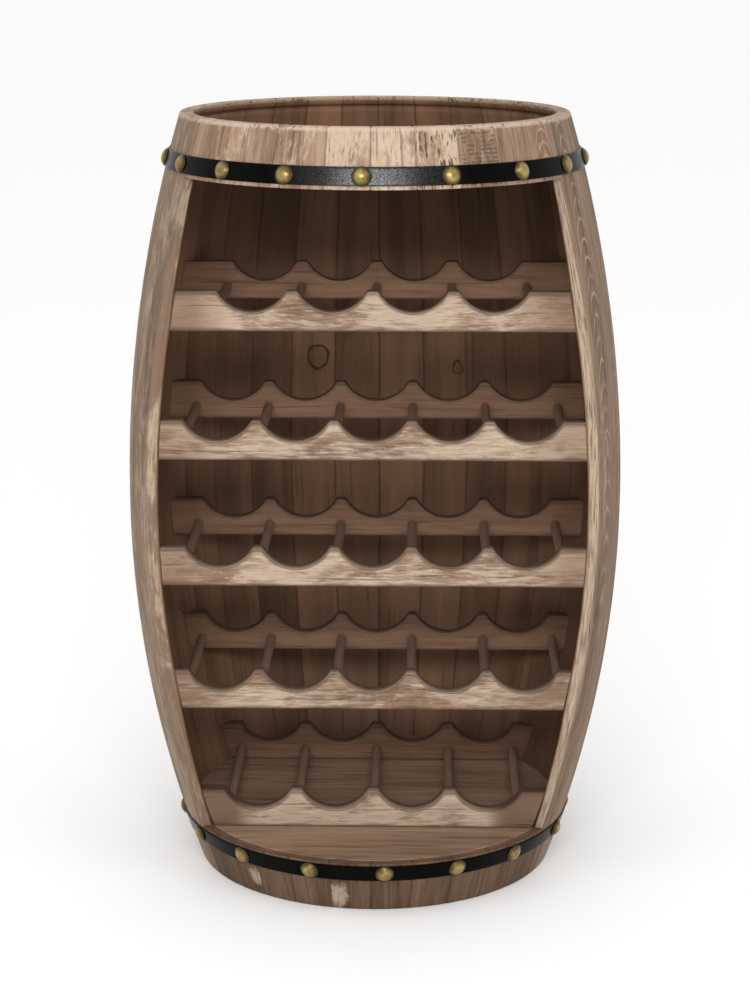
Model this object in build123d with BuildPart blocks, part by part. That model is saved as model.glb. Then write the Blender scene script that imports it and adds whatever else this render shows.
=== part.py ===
from build123d import *
from collections import namedtuple
from math import atan2, cos, degrees, radians, sin, sqrt
import os

# A wine rack made from an old barrel. Staves stand all round, and the front is cut open
# between a ring of short staves at the top and another at the bottom. Two panels close the
# ends, two hoops go round with dome nails, and five tiers of scalloped rails hold bottles.
# Millimetres. +Z is up, the front faces -Y, and the origin is on the floor, in the middle
# of the outline seen from above.

# Barrel
BARREL_H = 800
BILGE_R = 260  # outer radius at the bulge, half way up
TOP_R = 200  # outer radius at the top rim
BOTTOM_R = 190  # outer radius at the floor
STAVES = 30  # places round the barrel
OPEN_STAVES = 10  # of these, the ones cut open at the front
STAVE_T = 12
STAVE_GAP = 0.3
SEAM_EDGE = 0.8  # broken long edges of a stave
RIM_T = 14  # thickness of the lip inside the top rim
RIM_EDGE = 1.2  # broken edges of the rim
LIP_H = 9
CROZE_H = 3  # groove under the lip
CROZE_T = 9.5  # wood left outside the groove

# Opening at the front
UPPER_RING_H = 58
LOWER_RING_H = 57

# Panels
PANEL_T = 12
TRAY_DEPTH = 43  # top panel, below the rim
PANEL_FIT = 0.1  # between a panel and the staves
PANEL_EDGE = 0.8  # broken upper edge of a panel
BOARD_W = 76  # boards of a panel, marked by grooves
BOARD_GROOVE_W = 1.2
BOARD_GROOVE_DEPTH = 0.8

# Hoops
HOOP_W = 18
HOOP_T = 1.5
HOOP_FIT = 0.05  # between a hoop and the staves
HOOP_JOINT = 0.6  # where the two ends meet at the back
UPPER_HOOP_DROP = 45  # middle of the upper hoop, below the rim
LOWER_HOOP_RISE = 46  # middle of the lower hoop, above the floor

# Dome nails
DOME_D = 19.5
DOME_H = 5.5
SHANK_D = 2.4
SHANK_L = 9.5
SHANK_FIT = 0.05

# Turns of the nails, in degrees from the front. They were driven by eye, so they are not
# quite even, but each stands clear of the seams between the staves.
UPPER_NAIL_TURNS = (
    (-62.7, -42.5, -22.7, -2.2, 21.1, 42.7, 63.4)
    + (85.5, 106, 127.3, 148.6, 169.8, 190.5, 212, 233.5, 254.8, 277.5)
)
LOWER_NAIL_TURNS = (
    (-62.3, -40.5, -17.7, 3.9, 25.2, 45.4, 69.5)
    + (92.3, 115.1, 137.9, 160.8, 183.6, 206.4, 229.6, 250.4, 274.4)
)

# Bottle rails
BAYS = (4, 5, 5, 5, 4)  # bottles in each tier, from the bottom
RAIL_H = 40
RAIL_T = 18
RAIL_FIT = 0.1  # between a rail's end and the staves
CRADLE_DEPTH = 21
TOP_TIER_ROOM = 152.5  # top rail's underside to the upper ring
LOW_TIER_DROP = 2.5  # the lowest rails stand this much below the even spacing
RAIL_FACE = 117  # front rails' faces, in front of the barrel axis
LOW_RAIL_FACE = 104  # the same for the lowest tier
RAIL_PITCH = 211  # front face to front face of a pair
WIDE_LAND = 4  # five bottle tiers, outer bay to stave
NARROW_LAND = 12  # four bottle tiers, outer bay to stave

# Spacer dowels between the rails of a pair
DOWEL_D = 10
DOWEL_RISE = 13  # dowel's axis, above the rail's underside
DOWEL_SEAT = 10
DOWEL_FIT = 0.05
DOWEL_END_FIT = 0.2
DOWEL_WALL = 2.5  # wood left between an end dowel and the rail's end

# Brads through the staves
BRAD_D = 1.8
BRAD_HEAD_D = 2.8
BRAD_HEAD_H = 1
BRAD_SINK = 0.6
BRAD_FIT = 0.05
RAIL_BRAD_L = 25
RAIL_BRAD_RISE = 28  # above the rail's underside
PANEL_BRAD_L = 24
PANEL_BRAD_INSET = 4  # from the panel's face that is away from the hoop nails

# Worked out from the sizes above
BILGE_Z = BARREL_H / 2
OPENING_TOP = BARREL_H - UPPER_RING_H
BASE_TOP = LOWER_RING_H
TRAY_Z = BARREL_H - TRAY_DEPTH
UPPER_HOOP_Z = BARREL_H - UPPER_HOOP_DROP
STAVE_TURN = 360 / STAVES
OPEN_TURN = OPEN_STAVES * STAVE_TURN
GAP_TURN = degrees(STAVE_GAP / BILGE_R)
BRAD_HOLE_D = BRAD_D + 2 * BRAD_FIT
BRAD_HEAD_HOLE_D = BRAD_HEAD_D + 2 * BRAD_FIT
SHANK_HOLE_D = SHANK_D + 2 * SHANK_FIT
DOWEL_HOLE_D = DOWEL_D + 2 * DOWEL_FIT
CLEAR = 2 * (BILGE_R + BARREL_H)  # longer than anything here, for cuts that go right out


def arc_radius(z):
    """Radius of the arc that a stave follows on its way to the rim or to the floor."""
    end_r = TOP_R if z > BILGE_Z else BOTTOM_R
    bulge = BILGE_R - end_r
    return (BILGE_Z**2 + bulge**2) / (2 * bulge)


def outer_radius(z):
    """Outer radius of the staves at height z: two arcs that meet upright at the bilge."""
    arc_r = arc_radius(z)
    return BILGE_R - arc_r + sqrt(arc_r**2 - (z - BILGE_Z) ** 2)


def reach(z, y):
    """Half the clear width between the staves at height z, y away from the barrel axis."""
    return sqrt((outer_radius(z) - STAVE_T) ** 2 - y**2)


# The barrel axis stands a little in front of the middle, because the open front is cut
# back to the domes of the upper hoop while the back bulges out fully.
front_reach = outer_radius(UPPER_HOOP_Z) + HOOP_FIT + HOOP_T + DOME_H
AXIS_Y = (front_reach - BILGE_R) / 2
BARREL_AXIS = Axis((0, AXIS_Y, 0), (0, 0, 1))


def radial_plane(turn):
    """Upright plane from the barrel axis outward, turned from the front toward +X."""
    across = sin(radians(turn))
    along = cos(radians(turn))
    return Plane(origin=(0, AXIS_Y, 0), x_dir=(across, -along, 0), z_dir=(-along, -across, 0))


def level_plane(z):
    """Level plane at height z, its origin on the barrel axis."""
    return Plane((0, AXIS_Y, z))


def front_plane(ahead):
    """Upright plane that faces the front, this far ahead of the barrel axis."""
    return Plane.XZ.offset(ahead - AXIS_Y)


def draw_bend(inset, low, high):
    """Line of a stave's long face from low to high, set in from the outer face."""
    heights = [low, high]
    if low < BILGE_Z < high:
        heights = [low, BILGE_Z, high]
    for start, end in zip(heights, heights[1:]):
        middle = (start + end) / 2
        stops = [(outer_radius(z) - inset, z) for z in (start, middle, end)]
        ThreePointArc(*stops)


def draw_rimmed_stave(low):
    """Closed outline of a stave that runs from low to the rim, with its lip and groove."""
    rim = outer_radius(BARREL_H)
    lip = rim - RIM_T
    groove_top = BARREL_H - LIP_H
    groove_low = groove_top - CROZE_H
    shoulder = BARREL_H - RIM_EDGE
    draw_bend(0, low, shoulder)
    Polyline(
        (outer_radius(shoulder), shoulder),
        (rim - RIM_EDGE, BARREL_H),
        (lip + RIM_EDGE, BARREL_H),
        (lip, shoulder),
        (lip, groove_top),
        (rim - CROZE_T, groove_top),
        (rim - CROZE_T, groove_low),
        (outer_radius(groove_low) - STAVE_T, groove_low),
    )
    draw_bend(STAVE_T, low, groove_low)
    Line((outer_radius(low) - STAVE_T, low), (outer_radius(low), low))


def draw_plain_stave(low, high):
    """Closed outline of a stave that is cut square at both ends."""
    draw_bend(0, low, high)
    Line((outer_radius(high), high), (outer_radius(high) - STAVE_T, high))
    draw_bend(STAVE_T, low, high)
    Line((outer_radius(low) - STAVE_T, low), (outer_radius(low), low))


def draw_inside(fit):
    """Closed outline of the space inside the staves, less a fit, from the axis out."""
    draw_bend(STAVE_T + fit, 0, BARREL_H)
    Polyline(
        (outer_radius(BARREL_H) - STAVE_T - fit, BARREL_H),
        (0, BARREL_H),
        (0, 0),
        (outer_radius(0) - STAVE_T - fit, 0),
    )


def draw_panel(low, high):
    """Closed outline of half a panel, from the axis out, its upper edge broken."""
    shoulder = high - PANEL_EDGE
    shoulder_r = outer_radius(shoulder) - STAVE_T - PANEL_FIT
    draw_bend(STAVE_T + PANEL_FIT, low, shoulder)
    Polyline(
        (shoulder_r, shoulder),
        (shoulder_r - PANEL_EDGE, high),
        (0, high),
        (0, low),
        (outer_radius(low) - STAVE_T - PANEL_FIT, low),
    )


def outer_long_edges(part):
    """The two long edges of a stave's outer face, found by their distance from the axis."""
    runs_up = [e for e in part.edges() if abs((e % 0.5).Z) > 0.5]

    def depth(edge):
        middle = edge @ 0.5
        return outer_radius(middle.Z) - sqrt(middle.X**2 + (middle.Y - AXIS_Y) ** 2)

    return [e for e in runs_up if depth(e) < SEAM_EDGE / 2 and e.geom_type == GeomType.CIRCLE]


def hole_plane(origin, normal):
    """Plane across a fastener, with x halfway between level and steep.

    The seam of a round hole starts at x, so it stays off the middle lines of the staves.
    """
    level = Vector(0, 0, 1).cross(normal).normalized()
    steep = normal.cross(level).normalized()
    return Plane(origin=origin, x_dir=level + steep, z_dir=normal)


def nail_plane(turn, z):
    """Plane on a hoop's outer face, its normal square to the slope of the staves."""
    rise = z - BILGE_Z
    slope = degrees(atan2(rise, sqrt(arc_radius(z) ** 2 - rise**2)))
    out = radial_plane(turn)
    face_r = outer_radius(z) + HOOP_FIT + HOOP_T
    across = out.x_dir * cos(radians(slope))
    up = Vector(0, 0, 1) * sin(radians(slope))
    return hole_plane(out.from_local_coords((face_r, z, 0)), across + up)


def between(turn, middle, half):
    """Whether a turn is within half of another, whichever way round."""
    return abs((turn - middle + 180) % 360 - 180) < half


upper_nails = [(turn, nail_plane(turn, UPPER_HOOP_Z)) for turn in UPPER_NAIL_TURNS]
lower_nails = [(turn, nail_plane(turn, LOWER_HOOP_RISE)) for turn in LOWER_NAIL_TURNS]

# Tiers from the bottom up. The lowest stands on the base panel, and the others share out
# the height below the top one.
top_tier_z = OPENING_TOP - TOP_TIER_ROOM
tier_rise = (top_tier_z - BASE_TOP - LOW_TIER_DROP) / (len(BAYS) - 1)

Tier = namedtuple("Tier", "number z bays face")
tiers = [Tier(1, BASE_TOP, BAYS[0], LOW_RAIL_FACE)]
for number in range(2, len(BAYS) + 1):
    tier_z = top_tier_z - (len(BAYS) - number) * tier_rise
    tiers.append(Tier(number, tier_z, BAYS[number - 1], RAIL_FACE))


def pitch_for(bays, land):
    """Bottle pitch that fits this many bays between the staves in every such tier."""
    widths = [reach(t.z + RAIL_H / 2, t.face) - land for t in tiers if t.bays == bays]
    return 2 * min(widths) / bays


PITCHES = {
    max(BAYS): pitch_for(max(BAYS), WIDE_LAND),
    min(BAYS): pitch_for(min(BAYS), NARROW_LAND),
}
CRADLE_R = min(PITCHES.values()) / 2


def dowel_places(tier):
    """Sideways places of a tier's dowels: under each peak, and one at each end."""
    pitch = PITCHES[tier.bays]
    seat_y = max(tier.face - RAIL_T + DOWEL_SEAT, RAIL_PITCH - tier.face + DOWEL_SEAT)
    low_z = tier.z + DOWEL_RISE - DOWEL_D / 2
    end = reach(low_z, seat_y) - RAIL_FIT - DOWEL_WALL - DOWEL_HOLE_D / 2
    outermost = min(tier.bays * pitch / 2, end)
    peaks = [(n - tier.bays / 2) * pitch for n in range(1, tier.bays)]
    return [-outermost, *peaks, outermost]


def rail_brad(tier, ahead, side):
    """Turn and plane of the brad into one rail end: the plane's normal points inward."""
    z = tier.z + RAIL_BRAD_RISE
    middle = ahead - RAIL_T / 2
    face_x = sqrt(outer_radius(z) ** 2 - middle**2)
    turn = degrees(atan2(side * face_x, middle))
    head = (side * (face_x - BRAD_SINK), AXIS_Y - middle, z)
    return turn, hole_plane(head, Vector(-side, 0, 0))


def panel_brad(turn, z):
    """Plane of the brad through one stave into a panel's edge: its normal points inward."""
    out = radial_plane(turn)
    head_r = outer_radius(z) - BRAD_SINK
    return hole_plane(out.from_local_coords((head_r, z, 0)), -out.x_dir)


rail_brads = []
for tier in tiers:
    for ahead in (tier.face, tier.face - RAIL_PITCH):
        for side in (-1, 1):
            rail_brads.append(rail_brad(tier, ahead, side))

UPPER_BRAD_Z = TRAY_Z - PANEL_T + PANEL_BRAD_INSET
LOWER_BRAD_Z = BASE_TOP - PANEL_BRAD_INSET
stave_turns = [(n + 0.5) * STAVE_TURN - OPEN_TURN / 2 for n in range(STAVES)]
short_turns = stave_turns[:OPEN_STAVES]
full_turns = stave_turns[OPEN_STAVES:]
upper_brads = [panel_brad(turn, UPPER_BRAD_Z) for turn in stave_turns]
lower_brads = [panel_brad(turn, LOWER_BRAD_Z) for turn in stave_turns]


def cut_nail_holes(middle, nails):
    """Shank holes for the nails that meet the stave at this turn."""
    near = [plane for turn, plane in nails if between(turn, middle, STAVE_TURN)]
    for plane in near:
        with Locations(plane):
            Cylinder(SHANK_HOLE_D / 2, 2 * (SHANK_L + SHANK_FIT), mode=Mode.SUBTRACT)


def cut_brad_hole(plane, length):
    """Hole for one brad, wider where its head sinks in, open to the outside."""
    with Locations(plane):
        Cylinder(BRAD_HOLE_D / 2, 2 * (length + BRAD_FIT), mode=Mode.SUBTRACT)
        Cylinder(BRAD_HEAD_HOLE_D / 2, 2 * (BRAD_HEAD_H + BRAD_FIT), mode=Mode.SUBTRACT)


def add_brad(plane, length):
    """One brad: a shank and a small flat head."""
    upward = (Align.CENTER, Align.CENTER, Align.MIN)
    with Locations(plane):
        Cylinder(BRAD_D / 2, length, align=upward)
        Cylinder(BRAD_HEAD_D / 2, BRAD_HEAD_H, align=upward)


os.makedirs("parts", exist_ok=True)

# Full staves, from the right of the opening round the back to its left. The one at each
# side of the opening is planed flat in line with the front rails.
for number, middle in enumerate(full_turns, start=1):
    with BuildPart() as stave:
        with BuildSketch(radial_plane(middle - STAVE_TURN / 2 + GAP_TURN / 2)):
            with BuildLine():
                draw_rimmed_stave(0)
            make_face()
        revolve(axis=BARREL_AXIS, revolution_arc=STAVE_TURN - GAP_TURN)
        chamfer(outer_long_edges(stave), length=SEAM_EDGE)
        if number in (1, len(full_turns)):
            with BuildSketch(front_plane(RAIL_FACE)):
                Rectangle(CLEAR, CLEAR)
            extrude(amount=CLEAR, mode=Mode.SUBTRACT)
        cut_nail_holes(middle, upper_nails)
        cut_nail_holes(middle, lower_nails)
        cut_brad_hole(panel_brad(middle, UPPER_BRAD_Z), PANEL_BRAD_L)
        cut_brad_hole(panel_brad(middle, LOWER_BRAD_Z), PANEL_BRAD_L)
        for turn, plane in rail_brads:
            if between(turn, middle, STAVE_TURN):
                cut_brad_hole(plane, RAIL_BRAD_L)
    stave.part.label = f"stave_{number:02d}"
    export_step(stave.part, f"parts/stave_{number:02d}.step")

# Short staves of the ring over the opening, from left to right.
for number, middle in enumerate(short_turns, start=1):
    with BuildPart() as upper_short_stave:
        with BuildSketch(radial_plane(middle - STAVE_TURN / 2 + GAP_TURN / 2)):
            with BuildLine():
                draw_rimmed_stave(OPENING_TOP)
            make_face()
        revolve(axis=BARREL_AXIS, revolution_arc=STAVE_TURN - GAP_TURN)
        chamfer(outer_long_edges(upper_short_stave), length=SEAM_EDGE)
        cut_nail_holes(middle, upper_nails)
        cut_brad_hole(panel_brad(middle, UPPER_BRAD_Z), PANEL_BRAD_L)
    upper_short_stave.part.label = f"upper_short_stave_{number:02d}"
    export_step(upper_short_stave.part, f"parts/upper_short_stave_{number:02d}.step")

# Short staves of the ring under the opening, from left to right.
for number, middle in enumerate(short_turns, start=1):
    with BuildPart() as lower_short_stave:
        with BuildSketch(radial_plane(middle - STAVE_TURN / 2 + GAP_TURN / 2)):
            with BuildLine():
                draw_plain_stave(0, LOWER_RING_H)
            make_face()
        revolve(axis=BARREL_AXIS, revolution_arc=STAVE_TURN - GAP_TURN)
        chamfer(outer_long_edges(lower_short_stave), length=SEAM_EDGE)
        cut_nail_holes(middle, lower_nails)
        cut_brad_hole(panel_brad(middle, LOWER_BRAD_Z), PANEL_BRAD_L)
    lower_short_stave.part.label = f"lower_short_stave_{number:02d}"
    export_step(lower_short_stave.part, f"parts/lower_short_stave_{number:02d}.step")


def board_grooves():
    """Places of the grooves between a panel's boards, in front of and behind the axis."""
    count = int(BILGE_R / BOARD_W)
    return [(n + 0.5) * BOARD_W for n in range(-count - 1, count + 1)]


# Panels, their boards running sideways. The top one is the floor of the tray inside the
# upper rim. The base one is level with the top of the lower ring.
panels = (("top_panel", TRAY_Z, upper_brads), ("base_panel", BASE_TOP, lower_brads))
for name, top_z, brads in panels:
    with BuildPart() as panel:
        with BuildSketch(radial_plane(0)):
            with BuildLine():
                draw_panel(top_z - PANEL_T, top_z)
            make_face()
        revolve(axis=BARREL_AXIS)
        with BuildSketch(level_plane(top_z)):
            with Locations(*[(0, place) for place in board_grooves()]):
                Rectangle(CLEAR, BOARD_GROOVE_W)
        extrude(amount=-BOARD_GROOVE_DEPTH, mode=Mode.SUBTRACT)
        for plane in brads:
            cut_brad_hole(plane, PANEL_BRAD_L)
    panel.part.label = name
    export_step(panel.part, f"parts/{name}.step")

# Front and back rails of each tier. A rail is a board with one round cradle per bottle,
# its ends cut to the curve of the staves, and dowel sockets in the face toward its pair.
for tier in tiers:
    pitch = PITCHES[tier.bays]
    cradle_z = tier.z + RAIL_H - CRADLE_DEPTH + CRADLE_R
    cradles = [((n - (tier.bays - 1) / 2) * pitch, cradle_z) for n in range(tier.bays)]
    for name, ahead in (("front", tier.face), ("back", tier.face - RAIL_PITCH)):
        socket_side = -1 if name == "front" else 1
        socket_face = ahead - RAIL_T if name == "front" else ahead
        with BuildPart() as rail:
            with BuildSketch(front_plane(ahead)):
                with Locations((0, tier.z + RAIL_H / 2)):
                    Rectangle(CLEAR, RAIL_H)
                with Locations(*cradles):
                    Circle(CRADLE_R, mode=Mode.SUBTRACT)
            extrude(amount=-RAIL_T)
            with BuildSketch(radial_plane(0)):
                with BuildLine():
                    draw_inside(RAIL_FIT)
                make_face()
            revolve(axis=BARREL_AXIS, mode=Mode.INTERSECT)
            with BuildSketch(front_plane(socket_face)):
                with Locations(*[(x, tier.z + DOWEL_RISE) for x in dowel_places(tier)]):
                    Circle(DOWEL_HOLE_D / 2)
            extrude(amount=-socket_side * DOWEL_SEAT, mode=Mode.SUBTRACT)
            for side in (-1, 1):
                cut_brad_hole(rail_brad(tier, ahead, side)[1], RAIL_BRAD_L)
        rail.part.label = f"{name}_rail_{tier.number}"
        export_step(rail.part, f"parts/{name}_rail_{tier.number}.step")

# Spacer dowels of all tiers, each seated in a front rail and a back rail.
with BuildPart() as spacer_dowels:
    for tier in tiers:
        with BuildSketch(front_plane(tier.face - RAIL_T + DOWEL_SEAT - DOWEL_END_FIT)):
            with Locations(*[(x, tier.z + DOWEL_RISE) for x in dowel_places(tier)]):
                Circle(DOWEL_D / 2)
        extrude(amount=-(RAIL_PITCH - RAIL_T + 2 * (DOWEL_SEAT - DOWEL_END_FIT)))
spacer_dowels.part.label = "spacer_dowels"
export_step(spacer_dowels.part, "parts/spacer_dowels.step")

# Hoops: flat bands that follow the slope of the staves, their ends meeting under the nail
# that is nearest to the middle of the back.
hoops = (("upper_hoop", UPPER_HOOP_Z, upper_nails), ("lower_hoop", LOWER_HOOP_RISE, lower_nails))
for name, hoop_z, nails in hoops:
    low = hoop_z - HOOP_W / 2
    high = hoop_z + HOOP_W / 2
    joint_turn = degrees(HOOP_JOINT / outer_radius(hoop_z))
    joint_middle = min((turn for turn, plane in nails), key=lambda turn: abs(turn - 180))
    with BuildPart() as hoop:
        with BuildSketch(radial_plane(joint_middle + joint_turn / 2)):
            with BuildLine():
                draw_bend(-HOOP_FIT, low, high)
                draw_bend(-HOOP_FIT - HOOP_T, low, high)
                for z in (low, high):
                    inner = outer_radius(z) + HOOP_FIT
                    Line((inner, z), (inner + HOOP_T, z))
            make_face()
        revolve(axis=BARREL_AXIS, revolution_arc=360 - joint_turn)
        for turn, plane in nails:
            with Locations(plane):
                Cylinder(SHANK_HOLE_D / 2, 2 * SHANK_L, mode=Mode.SUBTRACT)
    hoop.part.label = name
    export_step(hoop.part, f"parts/{name}.step")

# Dome nails: a low round cap on a shank, standing on the hoop.
CAP_R = ((DOME_D / 2) ** 2 + DOME_H**2) / (2 * DOME_H)
HALF_CAP = atan2(DOME_D / 2, CAP_R - DOME_H) / 2  # half way from the crown to the rim
for name, nails in (("upper_hoop_nails", upper_nails), ("lower_hoop_nails", lower_nails)):
    with BuildPart() as hoop_nails:
        for turn, plane in nails:
            profile = Plane(origin=plane.origin, x_dir=plane.x_dir, z_dir=-plane.y_dir)
            with BuildSketch(profile):
                with BuildLine():
                    ThreePointArc(
                        (0, DOME_H),
                        (CAP_R * sin(HALF_CAP), DOME_H - CAP_R * (1 - cos(HALF_CAP))),
                        (DOME_D / 2, 0),
                    )
                    Polyline(
                        (DOME_D / 2, 0),
                        (SHANK_D / 2, 0),
                        (SHANK_D / 2, -SHANK_L + SHANK_D),
                        (0, -SHANK_L),
                        (0, DOME_H),
                    )
                make_face()
            revolve(axis=Axis(plane.origin, plane.z_dir))
    hoop_nails.part.label = name
    export_step(hoop_nails.part, f"parts/{name}.step")

# Brads that hold the rails: one through a stave into each rail end.
with BuildPart() as rail_brad_set:
    for turn, plane in rail_brads:
        add_brad(plane, RAIL_BRAD_L)
rail_brad_set.part.label = "rail_brads"
export_step(rail_brad_set.part, "parts/rail_brads.step")

# Brads that hold the panels: one through every stave into each panel, under the hoops.
with BuildPart() as panel_brad_set:
    for plane in upper_brads + lower_brads:
        add_brad(plane, PANEL_BRAD_L)
panel_brad_set.part.label = "panel_brads"
export_step(panel_brad_set.part, "parts/panel_brads.step")
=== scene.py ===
import math

import bpy
import numpy as np
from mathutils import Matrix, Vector


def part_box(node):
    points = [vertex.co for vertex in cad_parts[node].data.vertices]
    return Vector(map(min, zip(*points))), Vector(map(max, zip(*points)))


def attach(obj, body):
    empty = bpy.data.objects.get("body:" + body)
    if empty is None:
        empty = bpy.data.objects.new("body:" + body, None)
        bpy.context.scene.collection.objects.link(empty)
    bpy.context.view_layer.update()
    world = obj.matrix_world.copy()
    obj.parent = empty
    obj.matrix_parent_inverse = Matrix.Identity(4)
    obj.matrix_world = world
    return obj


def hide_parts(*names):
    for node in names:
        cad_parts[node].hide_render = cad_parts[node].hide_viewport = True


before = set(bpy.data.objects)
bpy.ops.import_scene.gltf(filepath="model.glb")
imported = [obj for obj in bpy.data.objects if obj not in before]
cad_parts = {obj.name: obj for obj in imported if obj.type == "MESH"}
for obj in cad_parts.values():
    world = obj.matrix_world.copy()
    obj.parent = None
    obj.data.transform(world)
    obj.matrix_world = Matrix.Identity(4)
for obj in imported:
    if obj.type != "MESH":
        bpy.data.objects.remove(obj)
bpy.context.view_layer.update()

# A barrel wine rack in rustic, whitewashed wood. The staves, rails, hoops and nails are
# surfaces worked out here over the CAD frame; the panels and dowels are the frame's own.
# Metres. The open front faces -Y, and the barrel axis stands at AXIS_Y.

# ---------------------------------------------------------------- sizes

panel_low, panel_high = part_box("base_panel")
AXIS_Y = (panel_low.y + panel_high.y) / 2
BARREL_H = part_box("stave_10")[1].z
OPENING_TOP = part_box("upper_short_stave_05")[0].z
LOWER_RING_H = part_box("lower_short_stave_05")[1].z
BILGE_R = 0.260
TOP_R = 0.200
BOTTOM_R = 0.190
STAVE_T = 0.012
RIM_T = 0.014
LIP_H = 0.009
CROZE_H = 0.003
CROZE_T = 0.0095
STAVES = 30
OPEN_STAVES = 10
STAVE_TURN = 2 * math.pi / STAVES
OPEN_HALF = OPEN_STAVES * STAVE_TURN / 2
SEAM_GAP = 0.00003
STAVE_END_ROUND = 0.0016
STAVE_ROW = 0.004
RAIL_FACE = AXIS_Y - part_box("front_rail_3")[0].y
RAIL_ROW = 0.0013
RAIL_END = 0.030
RAIL_END_GAP = 0.0001
ARRIS_WEAR = 0.0010
RAIL_ARRIS_WEAR = 0.0011
WEAR_SWING = 0.0006
STAVE_DISH = 0.00018
RAIL_DISH = 0.00015
HOOP_T = 0.0015
HOOP_FIT = 0.00005
HOOP_FLEX = 0.00025
HOOP_ROWS = 288
NAIL_R = 0.00975
NAIL_H = 0.0055
NAIL_DENT = 0.00005
NAIL_SPOKES = 28
UPPER_NAIL_TURNS = (
    (-62.7, -42.5, -22.7, -2.2, 21.1, 42.7, 63.4)
    + (85.5, 106, 127.3, 148.6, 169.8, 190.5, 212, 233.5, 254.8, 277.5)
)
LOWER_NAIL_TURNS = (
    (-62.3, -40.5, -17.7, 3.9, 25.2, 45.4, 69.5)
    + (92.3, 115.1, 137.9, 160.8, 183.6, 206.4, 229.6, 250.4, 274.4)
)
PANEL_BOARD_W = 0.076
CRADLE_R = 0.0394757
CRADLE_DEPTH = 0.021
BAYS = (4, 5, 5, 5, 4)
PITCHES = {4: 0.0810788, 5: 0.0789514}


def outer_radius(z):
    """Outer radius of the staves: two arcs, to the rim and to the floor, upright at the bilge."""
    middle = BARREL_H / 2
    end_r = np.where(z > middle, TOP_R, BOTTOM_R)
    bulge = BILGE_R - end_r
    arc_r = (middle**2 + bulge**2) / (2 * bulge)
    return BILGE_R - arc_r + np.sqrt(arc_r**2 - (z - middle) ** 2)


def outer_slope(z):
    """How much the outer radius grows per metre of height."""
    step = 1e-4
    return (outer_radius(z + step) - outer_radius(z - step)) / (2 * step)


# ---------------------------------------------------------------- surfaces


def ripple(x, y, seed, octaves=4):
    """Smooth unevenness from -1 to 1: sine waves of doubling frequency in turned directions."""
    rng = np.random.default_rng(seed)
    total = np.zeros(np.broadcast(x, y).shape)
    reach = 0.0
    for octave in range(octaves):
        turn, lag_x, lag_y = rng.uniform(0, 2 * math.pi, 3)
        rate = 2.0**octave
        along = x * math.cos(turn) + y * math.sin(turn)
        across = y * math.cos(turn) - x * math.sin(turn)
        total += np.sin(rate * along + lag_x) * np.sin(rate * across + lag_y) / rate
        reach += 1 / rate
    return total / reach


def loop_mesh(name, points, uv, marks):
    """A tube-like piece from a grid of points, row after row of closed loops, capped at both ends.

    points is rows x columns x 3, uv is rows x (columns + 1) x 2, because the last column of
    faces closes back on the first. marks maps attribute names to one value for the whole
    piece, or to values that spread over rows x columns.
    """
    rows, cols = points.shape[:2]
    row = np.arange(rows - 1)[:, None]
    col = np.arange(cols)[None, :]
    after = (col + 1) % cols
    quads = np.stack(
        [row * cols + col, row * cols + after, (row + 1) * cols + after, (row + 1) * cols + col], -1
    ).reshape(-1, 4)
    uv_quads = np.stack([uv[:-1, :-1], uv[:-1, 1:], uv[1:, 1:], uv[1:, :-1]], 2).reshape(-1, 2)
    foot = np.arange(cols)[::-1]
    head = (rows - 1) * cols + np.arange(cols)
    faces = quads.tolist() + [foot.tolist(), head.tolist()]
    mesh = bpy.data.meshes.new(name)
    mesh.from_pydata(points.reshape(-1, 3).tolist(), [], faces)
    layer = mesh.uv_layers.new(name="grain")
    flat = np.concatenate([uv_quads, uv[0, foot], uv[-1, :-1]])
    layer.data.foreach_set("uv", flat.astype(np.float32).ravel())
    for mark, values in marks.items():
        attribute = mesh.attributes.new(mark, "FLOAT", "POINT")
        spread = np.broadcast_to(values, (rows, cols)).astype(np.float32)
        attribute.data.foreach_set("value", spread.ravel())
    return smooth_piece(name, mesh)


def smooth_piece(name, mesh):
    """Shades a mesh smooth and stands it in the scene as a piece."""
    mesh.polygons.foreach_set("use_smooth", np.ones(len(mesh.polygons), bool))
    mesh.update()
    piece = bpy.data.objects.new(name, mesh)
    bpy.context.scene.collection.objects.link(piece)
    return piece


def finish_piece(piece, material, slot, *nodes):
    """Gives a piece its material, hides the CAD nodes it stands for, and rides it."""
    piece.data.materials.append(material)
    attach(piece, "root")
    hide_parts(*nodes)


def section_columns(face, side, arris):
    """Columns once round a board's section, as shares of its width and thickness.

    Each column is (a, b, c, d): across = a * half width + b * arris, depth = c * thickness
    + d * arris. The order is outer face, far side, inner face, near side, with a quarter
    circle at each corner.
    """
    turns = np.linspace(0, math.pi / 2, arris)
    spread = np.linspace(-1, 1, face + 2)[1:-1] * 0.97
    deep = np.linspace(0, 1, side + 2)[1:-1]
    cols = [(a, 0, 0, 0) for a in spread]
    cols += [(1, math.sin(t) - 1, 0, 1 - math.cos(t)) for t in turns]
    cols += [(1, 0, c, 0) for c in deep]
    cols += [(1, math.cos(t) - 1, 1, math.sin(t) - 1) for t in turns]
    cols += [(a, 0, 1, 0) for a in spread[::-1]]
    cols += [(-1, 1 - math.sin(t), 1, math.cos(t) - 1) for t in turns]
    cols += [(-1, 0, c, 0) for c in deep[::-1]]
    cols += [(-1, 1 - math.cos(t), 0, 1 - math.sin(t)) for t in turns]
    return np.array(cols, float)


STAVE_COLUMNS = section_columns(face=15, side=4, arris=4)
END_RISE = np.array([0.0, 0.08, 0.3, 0.62])
END_INSET = np.array([1.0, 0.62, 0.3, 0.08])
CORNER = 0.0002


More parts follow.
